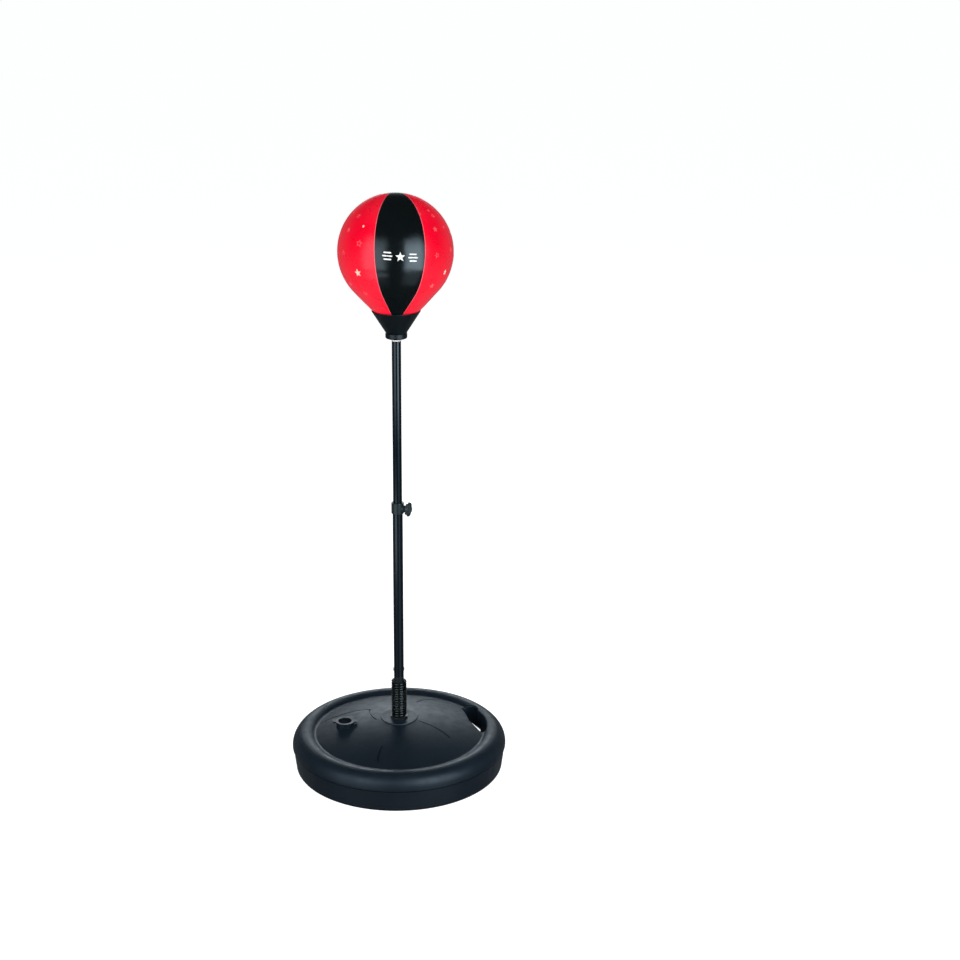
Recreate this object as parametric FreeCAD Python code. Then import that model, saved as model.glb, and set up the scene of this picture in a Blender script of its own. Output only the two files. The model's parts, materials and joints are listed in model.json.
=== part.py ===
"""Free-standing punching-ball stand: hollow base, coil spring, telescopic pole, cup and ball.

Millimetres, +Z up. The origin is the centre of the base's foot ring, on the floor.
The front of the stand looks along -Y. Each sub-part is written to parts/NODE.step.
"""
import FreeCAD, Part
import math
import os

V = FreeCAD.Vector
UP = V(0, 0, 1)

# Overall heights
TOTAL_H = 1050.0
HUB_TOP_Z = 92.0

# Base: a blow-moulded hollow tank
WALL = 2.5
FOOT_OUTER_R = 186.2
FOOT_INNER_R = 172.0
FOOT_SLOPE = 4.0
SIDE_FOOT_R = 190.2
SIDE_TOP_R = 194.8
SIDE_TOP_Z = 39.6
GROOVE_R = 191.6
GROOVE_Z = 40.9
LIP_R = 196.4
LIP_Z = 42.2
RIM_TUBE_R = 24.6
RIM_MID_Z = 43.8
RIM_INNER_ANGLE = 125.0
VOID_RIM_ANGLE = 132.0
VOID_STEP = 2.0
VALLEY_R = 153.0
VALLEY_MID = (155.5, 63.2)
CROWN_Z = 92.0
DOME_R = 421.0
HUB_R = 33.2
HUB_EDGE_R = 34.2
WELL_FOOT_R = 24.0
WELL_TOP_R = 13.0
WELL_TOP_Z = 83.0
LINE_WIDTH = 2.4
LINE_DEPTH = 1.8
MOULDED_LINES = (  # start, middle and end of each, seen from above
    ((-54, 43), (-98, 47), (-139, 34)),
    ((-54, 43), (-53, 16), (-42, -8)),
    ((33, 77), (55, 108), (78, 122)),
    ((34, -16), (66, -36), (92, -62)),
    ((-31, -96), (-36, -115), (-39, -134)),
)
CUTTER_FOOT_Z = -10.0  # cutters through the base start below it and end above it
CUTTER_H = 120.0
CUTTER_REACH = 200.0

# Carrying slot: corners and mid points of its outline as (x, y), anticlockwise
SLOT_NEAR_CORNER = (131.0, 22.0)
SLOT_NEAR_END = (147.5, -7.5)
SLOT_TIP = ((154.5, -10.5), (160.3, -1.5))
SLOT_OUTER = ((160.5, 34.0), (147.5, 70.0))
SLOT_FAR = ((134.0, 92.5), (118.5, 88.5))
SLOT_INNER_MID = (125.5, 56.0)
SLOT_CORNER_ROUND = 4.0
SLOT_MOUTH_ROUND = 3.0

# Finger gap: a sloping way from the slot out under the rim, through the skirt
GAP_X = 141.8
GAP_HALF_WIDTH = 8.5
GAP_FROM_Y = 40.0
GAP_LENGTH = 180.0
GAP_TURN = -3.0
GAP_SLOPE_TURN = 27.7
GAP_SLOPE = 1.062
GAP_SLOPE_FOOT = 196.7
GAP_CEILING = 46.0

# Filler neck and plug
FILLER_R = 100.0
FILLER_ANGLE = 185.0
NECK_R = 16.0
NECK_BORE_R = 13.6
NECK_TOP_Z = 86.0
PLUG_CLEARANCE = 0.05
PLUG_FLANGE_R = 17.2
PLUG_FLANGE_H = 3.0
PLUG_DEPTH = 5.0
PLUG_CUP_R = 12.3
PLUG_FLOOR = 2.0
LUG_REACH = 22.5
LUG_WIDTH = 9.0
LUG_H = 2.2

# Stud through the hub, with its washer and cap nut
STUD_R = 4.0
STUD_HOLE_R = 4.3
STUD_FOOT_Z = 74.0
CAP_NUT_ACROSS_FLATS = 13.0
CAP_NUT_H = 11.0
CAP_NUT_DOME_H = 4.0
CAP_NUT_DOME_R = 6.2
CAP_NUT_END_WALL = 3.0
WASHER_R = 12.0
WASHER_H = 1.6

# Coil spring
SEAT_FLANGE_R = 15.6
SEAT_FLANGE_H = 3.0
SPIGOT_R = 9.8
SPIGOT_H = 14.0
WIRE_R = 2.0
COIL_R = 12.0
PITCH = 4.8
COIL_TURNS = 14
BENDS_AFTER_TURNS = (4, 6, 8, 10)
SPRING_FOOT_Z = HUB_TOP_Z + SEAT_FLANGE_H

# Lower tube, its plug and rivet
LOWER_TUBE_R = 9.0
LOWER_TUBE_WALL = 0.8
LOWER_TUBE_FOOT_Z = 173.0
LOWER_TUBE_TOP_Z = 503.0
TOP_PLUG_R = 9.0
TOP_PLUG_REACH = 26.0
RIVET_R = 2.0
RIVET_HEAD_R = 3.6
RIVET_HEAD_H = 1.2
RIVET_Z = 187.0

# Clamp collar, boss and knob; the knob's axis leans to the front from +X
CLAMP_FOOT_Z = 487.2
CLAMP_TOP_Z = 507.2
CLAMP_R = 11.2
CLAMP_END_ROUND = 1.0
CLAMP_Z = 496.6
CLAMP_ANGLE = -25.0
BOSS_ROOT_R = 9.4
BOSS_TIP_R = 5.8
BOSS_TIP = 13.9
NUT_ACROSS_FLATS = 8.0
NUT_FROM = 9.8
NUT_H = 3.0
SCREW_R = 2.5
SCREW_CLEARANCE = 0.06
PAD_R = 2.2
PAD_H = 2.2
KNOB_BACK = 14.7
KNOB_NECK_R = 4.6
KNOB_FLARE_END = 18.6
KNOB_FACE = 23.4
KNOB_R = 12.6
KNOB_EDGE = 1.5
KNOB_DISH = 1.2
SCREW_COVER = 3.0
KNOB_LOBES = 5
LOBE_CUT_R = 6.0
LOBE_CUT_AT = 15.6

# Upper tube and its bushes
UPPER_TUBE_R = 8.0
UPPER_TUBE_WALL = 0.8
UPPER_TUBE_FOOT_Z = 440.0
UPPER_TUBE_TOP_Z = 801.6
RUNNING = 0.05
GLIDE_H = 12.0
GLIDE_SPIGOT_H = 18.0
GLIDE_WALL = 2.0
CAP_FLANGE_R = 8.9
CAP_SPIGOT_H = 16.0

# Cup, lock ring and ball stem
CUP_FOOT_Z = 803.0
CUP_FLOOR_Z = 812.0
CUP_FLOOR = 2.5
CUP_RIM_Z = 851.5
CUP_FOOT_R = 17.3
CUP_RIM_R = 42.0
CUP_WALL = 1.8
CUP_BOSS_R = 13.0
LOCK_RING_R = 18.8
LOCK_RING_ROUND = 3.0
STEM_R = 4.0
STEM_FOOT_Z = 772.0
STEM_FLANGE_H = 2.5

# Ball: a sphere that runs down into a cone, in six printed panels over a bladder
BALL_R = 98.0
BALL_CONE_ANGLE = 42.8
BALL_FOOT_Z = 826.0
SKIN = 0.9
BLADDER_WALL = 0.8
BLADDER_GAP = 0.1
PATCH_R = 23.0
BLACK_SPAN = 50.4
RED_SPAN = 69.6
FIRST_BLACK_FROM = -110.8
SEAM_TILT = 11.0
FOOT_PATCH_TOP = 838.0
PIPING_WIDTH = 1.3
PIPING_PROUD = 0.45
PIPING_ABOVE_CUP = 3.0
VALVE_R = 5.0
VALVE_ANGLE = 96.0
VALVE_DROP = 28.0
VALVE_PROUD = 1.0
PRESS_CLEARANCE = 0.02


def outline(start, *steps):
    """A closed flat face in the XZ plane: a step is an end point, or an arc's middle and end points."""
    edges = []
    here = V(start[0], 0, start[1])
    for step in steps:
        end = V(step[-2], 0, step[-1])
        if len(step) == 4:
            edges.append(Part.Arc(here, V(step[0], 0, step[1]), end).toShape())
        else:
            edges.append(Part.LineSegment(here, end).toShape())
        here = end
    edges.append(Part.LineSegment(here, V(start[0], 0, start[1])).toShape())
    return Part.Face(Part.Wire(edges))


def turned(face, angle=360.0):
    """The solid swept by an XZ face about the Z axis."""
    return face.revolve(V(0, 0, 0), UP, angle)


def cylinder(radius, low, high, x=0.0, y=0.0):
    return Part.makeCylinder(radius, high - low, V(x, y, low))


def tube(outer, inner, low, high):
    return cylinder(outer, low, high).cut(cylinder(inner, low, high))


def polar(radius, degrees, z=0.0):
    angle = math.radians(degrees)
    return V(radius * math.cos(angle), radius * math.sin(angle), z)


def on_circle(centre_r, centre_z, radius, degrees):
    """The (r, z) of a point on a circle in the XZ plane, degrees up from +r."""
    angle = math.radians(degrees)
    return (centre_r + radius * math.cos(angle), centre_z + radius * math.sin(angle))


def dome_z(radius, inset=0.0):
    """Height of the base's dome at a distance from the axis."""
    return CROWN_Z - DOME_R + math.sqrt((DOME_R - inset) ** 2 - radius ** 2)


def hexagon(across_flats, low, high):
    corner = across_flats / math.sqrt(3)
    points = [polar(corner, 60 * side, low) for side in range(7)]
    return Part.Face(Part.makePolygon(points)).extrude(V(0, 0, high - low))


def save(name, shape):
    for solid in shape.Solids:
        if not solid.isValid():
            raise ValueError(name + " has a broken solid")
    shape.exportStep("parts/" + name + ".step")
    volume = sum(solid.Volume for solid in shape.Solids)
    print("%-22s %2d solid %10.1f mm3" % (name, len(shape.Solids), volume))


# ---------------------------------------------------------------- base

def base_outside():
    """The tank's outer form, filled."""
    rim_r = LIP_R - RIM_TUBE_R
    crest = on_circle(rim_r, RIM_MID_Z, RIM_TUBE_R, 90)
    inner = on_circle(rim_r, RIM_MID_Z, RIM_TUBE_R, RIM_INNER_ANGLE)
    outer_mid = on_circle(rim_r, RIM_MID_Z, RIM_TUBE_R, 45)
    inner_mid = on_circle(rim_r, RIM_MID_Z, RIM_TUBE_R, (90 + RIM_INNER_ANGLE) / 2)
    foot_round = SIDE_FOOT_R - FOOT_OUTER_R
    foot_mid = (SIDE_FOOT_R - 0.3 * foot_round, 0.3 * foot_round)
    dome_mid_r = (VALLEY_R + HUB_EDGE_R) / 2
    return turned(outline(
        (0, FOOT_SLOPE),
        (FOOT_INNER_R - FOOT_SLOPE, FOOT_SLOPE),
        (FOOT_INNER_R, 0),
        (FOOT_OUTER_R, 0),
        foot_mid + (SIDE_FOOT_R, foot_round),
        (SIDE_TOP_R, SIDE_TOP_Z),
        (GROOVE_R, GROOVE_Z),
        (LIP_R, LIP_Z),
        (LIP_R, RIM_MID_Z),
        outer_mid + crest,
        inner_mid + inner,
        VALLEY_MID + (VALLEY_R, dome_z(VALLEY_R)),
        (dome_mid_r, dome_z(dome_mid_r), HUB_EDGE_R, dome_z(HUB_EDGE_R)),
        (HUB_R, HUB_TOP_Z),
        (0, HUB_TOP_Z),
    ))


def base_void():
    """The space for water or sand, one wall thickness inside the outer form."""
    rim_r = LIP_R - RIM_TUBE_R
    inner_tube_r = RIM_TUBE_R - WALL
    crest_mid = on_circle(rim_r, RIM_MID_Z, inner_tube_r, VOID_RIM_ANGLE / 2)
    valley = on_circle(rim_r, RIM_MID_Z, inner_tube_r, VOID_RIM_ANGLE)
    dome_end_r = VALLEY_R - VOID_STEP
    dome_mid_r = (dome_end_r + HUB_R) / 2
    well_low_r = WELL_FOOT_R + WALL
    well_high_r = WELL_TOP_R + 2 * WALL
    return turned(outline(
        (well_low_r, FOOT_SLOPE + WALL),
        (FOOT_INNER_R - FOOT_SLOPE + 1, FOOT_SLOPE + WALL),
        (FOOT_INNER_R + 1, WALL),
        (FOOT_OUTER_R - 0.5, WALL),
        (SIDE_FOOT_R - WALL, FOOT_SLOPE + 1),
        (SIDE_TOP_R - WALL, SIDE_TOP_Z - VOID_STEP),
        (GROOVE_R - WALL, GROOVE_Z - 1),
        (GROOVE_R - WALL, GROOVE_Z + 1),
        (LIP_R - WALL, LIP_Z + VOID_STEP),
        (LIP_R - WALL, RIM_MID_Z),
        crest_mid + valley,
        (dome_end_r, dome_z(dome_end_r, WALL)),
        (dome_mid_r, dome_z(dome_mid_r, WALL), well_high_r, dome_z(well_high_r, WALL)),
    ))


def slot_prism(grow=0.0):
    """The carrying slot, right through the base, widened all round by grow."""
    corner, near_end = V(*SLOT_NEAR_CORNER, 0), V(*SLOT_NEAR_END, 0)
    edges = [Part.LineSegment(corner, near_end).toShape()]
    here = near_end
    for middle, end in (SLOT_TIP, SLOT_OUTER, SLOT_FAR, (SLOT_INNER_MID, SLOT_NEAR_CORNER)):
        edges.append(Part.Arc(here, V(*middle, 0), V(*end, 0)).toShape())
        here = V(*end, 0)
    plan = Part.Face(Part.Wire(edges))
    plan.translate(V(0, 0, CUTTER_FOOT_Z))
    if grow:
        return plan.makeOffset2D(grow).extrude(V(0, 0, CUTTER_H))
    prism = plan.extrude(V(0, 0, CUTTER_H))
    upright = [edge for edge in prism.Edges if edge.BoundBox.ZLength > CUTTER_H / 2]
    return prism.makeFillet(SLOT_CORNER_ROUND, upright)


def finger_gap(grow=0.0):
    """The way out under the rim: upright sides and a ceiling that slopes down to the skirt."""
    half = GAP_HALF_WIDTH + grow
    way = Part.makeBox(2 * half, GAP_LENGTH, CUTTER_H, V(-half, GAP_FROM_Y, CUTTER_FOOT_Z))
    way.rotate(V(0, 0, 0), UP, GAP_TURN)
    way.translate(V(GAP_X, 0, 0))
    foot = GAP_SLOPE_FOOT + grow * math.hypot(1, GAP_SLOPE) / GAP_SLOPE
    high = GAP_CEILING + grow
    low = CUTTER_FOOT_Z
    front = -CUTTER_REACH
    points = [
        V(0, front, low),
        V(foot - low / GAP_SLOPE, front, low),
        V(foot - high / GAP_SLOPE, front, high),
        V(0, front, high),
        V(0, front, low),
    ]
    under = Part.Face(Part.makePolygon(points)).extrude(V(0, 2 * CUTTER_REACH, 0))
    under.rotate(V(0, 0, 0), UP, GAP_SLOPE_TURN)
    return way.common(under)


def moulded_line(start, middle, end):
    """A shallow groove in the dome along an arc seen from above."""
    points = [V(p[0], p[1], 0) for p in (start, middle, end)]
    circle = Part.Arc(*points).toShape().Curve
    centre, radius = circle.Center, circle.Radius
    sides = []
    for offset in (-LINE_WIDTH / 2, LINE_WIDTH / 2):
        reach = [centre + (p - centre) * ((radius + offset) / radius) for p in points]
        sides.append(reach)
    near, far = sides
    edges = [
        Part.Arc(*near).toShape(),
        Part.LineSegment(near[2], far[2]).toShape(),
        Part.Arc(*far).toShape(),
        Part.LineSegment(far[0], near[0]).toShape(),
    ]
    band = Part.Face(Part.Wire(Part.__sortEdges__(edges))).extrude(V(0, 0, CUTTER_H))
    layer = Part.makeSphere(DOME_R + 5, V(0, 0, CROWN_Z - DOME_R))
    layer = layer.cut(Part.makeSphere(DOME_R - LINE_DEPTH, V(0, 0, CROWN_Z - DOME_R)))
    return band.common(layer)


def round_slot_mouth(body):
    """Rounds the edge where the carrying slot comes out of the top."""
    near = slot_prism(0.5)
    mouth = []
    for edge in body.Edges:
        middle = edge.valueAt((edge.FirstParameter + edge.LastParameter) / 2)
        flat = edge.BoundBox.ZLength < SLOT_CORNER_ROUND * 2
        if flat and middle.z > GAP_CEILING + 1 and near.isInside(middle, 0.01, True):
            mouth.append(edge)
    return body.makeFillet(SLOT_MOUTH_ROUND, mouth)


def make_base_shell():
    centre = polar(FILLER_R, FILLER_ANGLE)
    void = base_void()
    neck = cylinder(NECK_R, 66, NECK_TOP_Z, centre.x, centre.y).cut(void)
    body = base_outside().fuse(neck)
    body = body.cut(void.cut(slot_prism(WALL)).cut(finger_gap(WALL)))
    body = body.cut(slot_prism())
    body = body.cut(finger_gap())
    body = body.cut(cylinder(NECK_BORE_R, 60, NECK_TOP_Z + 1, centre.x, centre.y))
    well = Part.makeCone(WELL_FOOT_R, WELL_TOP_R, WELL_TOP_Z)
    body = body.cut(well).cut(cylinder(STUD_HOLE_R, 60, HUB_TOP_Z + 1))
    for line in MOULDED_LINES:
        body = body.cut(moulded_line(*line))
    return round_slot_mouth(body.removeSplitter())


def make_filler_plug():
    """Push-in hollow stopper with two finger lugs."""
    top = NECK_TOP_Z + PLUG_FLANGE_H
    foot = NECK_TOP_Z - PLUG_DEPTH
    plug = cylinder(NECK_BORE_R - PLUG_CLEARANCE, foot, NECK_TOP_Z)
    plug = plug.fuse(cylinder(PLUG_FLANGE_R, NECK_TOP_Z, top))
    lugs = Part.makeBox(2 * LUG_REACH, LUG_WIDTH, LUG_H, V(-LUG_REACH, -LUG_WIDTH / 2, top - LUG_H))
    lugs = lugs.common(cylinder(LUG_REACH, top - LUG_H, top))
    plug = plug.fuse(lugs).removeSplitter()
    plug = plug.cut(cylinder(PLUG_CUP_R, foot + PLUG_FLOOR, top + 1))
    plug.translate(polar(FILLER_R, FILLER_ANGLE))
    return plug


def make_base_nut():
    """Cap nut in the well under the hub, on the spring seat's stud."""
    top = WELL_TOP_Z - WASHER_H
    foot = top - CAP_NUT_H
    shoulder = foot + CAP_NUT_DOME_H
    dome_mid = (CAP_NUT_DOME_R * 0.72, foot + CAP_NUT_DOME_H * 0.3)
    dome = turned(outline((0, foot), dome_mid + (CAP_NUT_DOME_R, shoulder), (0, shoulder)))
    nut = hexagon(CAP_NUT_ACROSS_FLATS, shoulder, top).fuse(dome)
    return nut.cut(cylinder(STUD_R + RUNNING, foot + CAP_NUT_END_WALL, top + 1)).removeSplitter()


def make_base_washer():
    return tube(WASHER_R, STUD_HOLE_R, WELL_TOP_Z - WASHER_H, WELL_TOP_Z)


# ---------------------------------------------------------------- spring

def make_spring_seat():
    """Flanged foot with a spigot that fills the lowest coils and a stud down through the hub."""
    seat = cylinder(SEAT_FLANGE_R, HUB_TOP_Z, SPRING_FOOT_Z)
    seat = seat.fuse(cylinder(SPIGOT_R, HUB_TOP_Z, SPRING_FOOT_Z + SPIGOT_H))
    return seat.fuse(cylinder(STUD_R, STUD_FOOT_Z, SPRING_FOOT_Z)).removeSplitter()


def spring_solid(first_turn, last_turn):
    """A length of the coil, as the wire between two turn counts."""
    height = (last_turn - first_turn) * PITCH
    low = SPRING_FOOT_Z + WIRE_R + first_turn * PITCH
    path = Part.makeHelix(PITCH, height, COIL_R)
    path.rotate(V(0, 0, 0), UP, 180)
    path.translate(V(0, 0, low))
    start = V(-COIL_R, 0, low)
    tangent = V(0, -2 * math.pi * COIL_R, PITCH)
    section = Part.Wire([Part.makeCircle(WIRE_R, start, tangent)])
    return Part.Wire(path).makePipeShell([section], True, True)


def make_springs():
    turns = (0,) + BENDS_AFTER_TURNS + (COIL_TURNS,)
    names = ("spring_foot_coils", "spring_coils_1", "spring_coils_2", "spring_coils_3", "spring_head_coils")
    for name, first, last in zip(names, turns[:-1], turns[1:]):
        save(name, spring_solid(first, last))


def make_spring_top_plug():
    """Plug with a spigot in the highest coils, a shoulder as wide as the tube and a spigot in the tube."""
    spring_top = SPRING_FOOT_Z + COIL_TURNS * PITCH + 2 * WIRE_R
    plug = cylinder(SPIGOT_R, spring_top - SPIGOT_H, spring_top - 1)
    plug = plug.fuse(cylinder(TOP_PLUG_R, spring_top - 2, LOWER_TUBE_FOOT_Z))
    tube_fit_r = LOWER_TUBE_R - LOWER_TUBE_WALL - PRESS_CLEARANCE
    plug = plug.fuse(cylinder(tube_fit_r, LOWER_TUBE_FOOT_Z, LOWER_TUBE_FOOT_Z + TOP_PLUG_REACH))
    return plug.cut(rivet_hole()).removeSplitter()


def rivet_hole():
    reach = LOWER_TUBE_R + 2
    return Part.makeCylinder(RIVET_R + PRESS_CLEARANCE, 2 * reach, V(-reach, 0, RIVET_Z), V(1, 0, 0))


# ---------------------------------------------------------------- lower tube and clamp

def make_lower_tube():
    shell = tube(LOWER_TUBE_R, LOWER_TUBE_R - LOWER_TUBE_WALL, LOWER_TUBE_FOOT_Z, LOWER_TUBE_TOP_Z)
    return shell.cut(rivet_hole()).cut(screw_bore(PAD_R + 0.2, LOWER_TUBE_R + 2))


def make_tube_rivet():
    """Cross rivet that holds the lower tube on its plug, one head each side."""
    length = 2 * LOWER_TUBE_R
    rivet = Part.makeCylinder(RIVET_R, length, V(-LOWER_TUBE_R, 0, RIVET_Z), V(1, 0, 0))
    for side in (-1, 1):
        start = V(side * (LOWER_TUBE_R + 0.01), 0, RIVET_Z)
        along = V(side, 0, 0)
        rivet = rivet.fuse(Part.makeCylinder(RIVET_R, RIVET_HEAD_H, start - along * 0.05, along))
        rivet = rivet.fuse(Part.makeCone(RIVET_HEAD_R, RIVET_HEAD_R - 1, RIVET_HEAD_H, start, along))
    return rivet.removeSplitter()


def along_clamp(distance):
    return polar(distance, CLAMP_ANGLE, CLAMP_Z)


def clamp_direction():
    return polar(1, CLAMP_ANGLE)


def screw_bore(radius, end, start=0.0):
    return Part.makeCylinder(radius, end - start, along_clamp(start), clamp_direction())


def on_clamp_axis(shape, distance):
    """Moves a shape built along +Z from the origin onto the clamp's axis."""
    shape.rotate(V(0, 0, 0), V(0, 1, 0), 90)
    shape.rotate(V(0, 0, 0), UP, CLAMP_ANGLE)
    shape.translate(along_clamp(distance))
    return shape


def make_clamp_collar():
    """Sleeve over the lower tube's mouth, with a guide lip and a boss for the screw."""
    collar = cylinder(CLAMP_R, CLAMP_FOOT_Z, CLAMP_TOP_Z)
    for edge_z in (CLAMP_FOOT_Z, CLAMP_TOP_Z):
        ends = [e for e in collar.Edges if len(e.Vertexes) == 1 and abs(e.Vertexes[0].Z - edge_z) < 0.01]
        collar = collar.makeFillet(CLAMP_END_ROUND, ends[:1])
    boss = Part.makeCone(BOSS_ROOT_R, BOSS_TIP_R, BOSS_TIP, along_clamp(0), clamp_direction())
    collar = collar.fuse(boss)
    pocket = hexagon(NUT_ACROSS_FLATS + 2 * PRESS_CLEARANCE, 0, NUT_H)
    collar = collar.cut(on_clamp_axis(pocket, NUT_FROM))
    collar = collar.cut(cylinder(LOWER_TUBE_R + PRESS_CLEARANCE, CLAMP_FOOT_Z - 1, LOWER_TUBE_TOP_Z))
    collar = collar.cut(cylinder(UPPER_TUBE_R + 0.1, LOWER_TUBE_TOP_Z - 1, CLAMP_TOP_Z + 1))
    collar = collar.cut(screw_bore(SCREW_R + SCREW_CLEARANCE, BOSS_TIP + 1))
    return collar.removeSplitter()


def make_clamp_nut():
    nut = hexagon(NUT_ACROSS_FLATS, 0, NUT_H)
    nut = nut.cut(cylinder(SCREW_R + SCREW_CLEARANCE, -1, NUT_H + 1))
    return on_clamp_axis(nut, NUT_FROM)


def make_clamp_pad():
    """Small pad between the screw's tip and the upper tube, hollowed to the tube's curve."""
    pad = screw_bore(PAD_R, UPPER_TUBE_R + PAD_H)
    return pad.cut(cylinder(UPPER_TUBE_R + 0.02, CLAMP_Z - 5, CLAMP_Z + 5))


def make_clamp_screw():
    start = UPPER_TUBE_R + PAD_H + PRESS_CLEARANCE
    return screw_bore(SCREW_R, KNOB_FACE - SCREW_COVER, start)


def make_clamp_knob():
    """Flared knob with rounded lobes round its edge and a dished face."""
    length = KNOB_FACE - KNOB_BACK
    flare = KNOB_FLARE_END - KNOB_BACK
    rim_inner_r = KNOB_R - 2 * KNOB_EDGE
    dish_r = KNOB_R - 3 * KNOB_EDGE
    knob = turned(outline(
        (0, 0),
        (KNOB_NECK_R, 0),
        (KNOB_NECK_R + KNOB_EDGE, flare * 0.72, KNOB_R - KNOB_EDGE / 2, flare),
        (KNOB_R, flare + KNOB_EDGE / 2),
        (KNOB_R, length - KNOB_EDGE),
        (KNOB_R - 0.3 * KNOB_EDGE, length - 0.3 * KNOB_EDGE, KNOB_R - KNOB_EDGE, length),
        (rim_inner_r, length),
        (dish_r, length - KNOB_DISH),
        (0, length - KNOB_DISH / 2),
    ))
    for lobe in range(KNOB_LOBES):
        at = polar(LOBE_CUT_AT, (lobe + 0.5) * 360 / KNOB_LOBES)
        knob = knob.cut(cylinder(LOBE_CUT_R, flare * 0.3, length + 1, at.x, at.y))
    knob = knob.cut(cylinder(SCREW_R + PRESS_CLEARANCE, -1, length - SCREW_COVER))
    return on_clamp_axis(knob.removeSplitter(), KNOB_BACK)


# ---------------------------------------------------------------- upper tube

def upper_bore_r():
    return UPPER_TUBE_R - UPPER_TUBE_WALL


def make_upper_tube():
    return tube(UPPER_TUBE_R, upper_bore_r(), UPPER_TUBE_FOOT_Z, UPPER_TUBE_TOP_Z)


def make_glide_bush():
    """Bush at the foot of the upper tube that runs in the lower tube."""
    guide_r = LOWER_TUBE_R - LOWER_TUBE_WALL - RUNNING
    low, seat, high = UPPER_TUBE_FOOT_Z - GLIDE_H, UPPER_TUBE_FOOT_Z, UPPER_TUBE_FOOT_Z + GLIDE_SPIGOT_H
    bush = cylinder(guide_r, low, seat).fuse(cylinder(upper_bore_r() - RUNNING, seat, high))
    return bush.cut(cylinder(upper_bore_r() - GLIDE_WALL, low, high)).removeSplitter()


def make_tube_cap():
    """Pale end bush of the upper tube, bored for the ball's stem."""
    cap = cylinder(CAP_FLANGE_R, UPPER_TUBE_TOP_Z, CUP_FOOT_Z)
    spigot_foot = UPPER_TUBE_TOP_Z - CAP_SPIGOT_H
    cap = cap.fuse(cylinder(upper_bore_r() - PRESS_CLEARANCE, spigot_foot, UPPER_TUBE_TOP_Z))
    return cap.cut(cylinder(STEM_R + PRESS_CLEARANCE, STEM_FOOT_Z, CUP_FOOT_Z + 1)).removeSplitter()


# ---------------------------------------------------------------- cup and ball

def make_ball_cup():
    """Funnel that holds the ball, with a threaded boss below for the lock ring."""
    rim_mid_r = CUP_RIM_R - CUP_WALL / 2
    bore_r = STEM_R + RUNNING
    return turned(outline(
        (bore_r, CUP_FOOT_Z),
        (CUP_BOSS_R, CUP_FOOT_Z),
        (CUP_BOSS_R, CUP_FLOOR_Z),
        (CUP_FOOT_R, CUP_FLOOR_Z),
        (CUP_RIM_R, CUP_RIM_Z - CUP_WALL / 2),
        (rim_mid_r, CUP_RIM_Z, CUP_RIM_R - CUP_WALL, CUP_RIM_Z - CUP_WALL / 2),
        (CUP_FOOT_R - CUP_WALL / 2, CUP_FLOOR_Z + CUP_FLOOR),
        (bore_r, CUP_FLOOR_Z + CUP_FLOOR),
    ))


def make_lock_ring():
    low, high = CUP_FOOT_Z, CUP_FLOOR_Z
    ring = tube(LOCK_RING_R, CUP_BOSS_R + PRESS_CLEARANCE, low, high)
    edges = [e for e in ring.Edges if abs(e.Length - 2 * math.pi * LOCK_RING_R) < 0.1]
    lowest = [e for e in edges if abs(e.BoundBox.ZMin - low) < 0.01]
    return ring.makeFillet(LOCK_RING_ROUND, lowest)


def make_ball_stem():
    """Rod through the cup and tube cap, with the disc that the ball is bonded to."""
    top = BALL_FOOT_Z - PRESS_CLEARANCE
    stem = cylinder(STEM_R, STEM_FOOT_Z, top - 1)
    return stem.fuse(cylinder(ball_foot_r() - 1, top - STEM_FLANGE_H, top)).removeSplitter()


def ball_centre_z():
    return TOTAL_H - BALL_R


def tangent_point(inset):
    angle = math.radians(BALL_CONE_ANGLE)
    radius = BALL_R - inset
    return radius * math.cos(angle), ball_centre_z() - radius * math.sin(angle)


def ball_foot_r(inset=0.0):
    """Radius of the ball's cone at its foot plane."""
    radius, z = tangent_point(inset)
    return radius - (z - BALL_FOOT_Z) * math.tan(math.radians(BALL_CONE_ANGLE))


def ball_form(inset):
    """The ball's filled form, inset from its skin."""
    centre = ball_centre_z()
    radius = BALL_R - inset
    shoulder = tangent_point(inset)
    middle = on_circle(0, centre, radius, (90 - BALL_CONE_ANGLE) / 2)
    return turned(outline(
        (0, BALL_FOOT_Z),
        (ball_foot_r(inset), BALL_FOOT_Z),
        shoulder,
        middle + (0, centre + radius),
    ))


def leaned(shape):
    """Leans a cutter with the line on which the ball's seams meet, its top to the back."""
    shape.rotate(V(0, 0, ball_centre_z()), V(1, 0, 0), -SEAM_TILT)
    return shape


def wedge(start, span):
    """A tall sector about the seams' axis, to cut the ball's panels from its skin."""
    reach = 3 * BALL_R
    points = [V(0, 0, 700), polar(reach, start, 700)]
    middle = polar(reach, start + span / 2, 700)
    end = polar(reach, start + span, 700)
    edges = [
        Part.LineSegment(points[0], points[1]).toShape(),
        Part.Arc(points[1], middle, end).toShape(),
        Part.LineSegment(end, points[0]).toShape(),
    ]
    return leaned(Part.Face(Part.Wire(edges)).extrude(V(0, 0, 500)))


def valve_axis():
    return polar(math.cos(math.radians(VALVE_DROP)), VALVE_ANGLE, -math.sin(math.radians(VALVE_DROP)))


def valve_bore(radius, inner, outer):
    centre = V(0, 0, ball_centre_z())
    return Part.makeCylinder(radius, outer - inner, centre + valve_axis() * inner, valve_axis())


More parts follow.
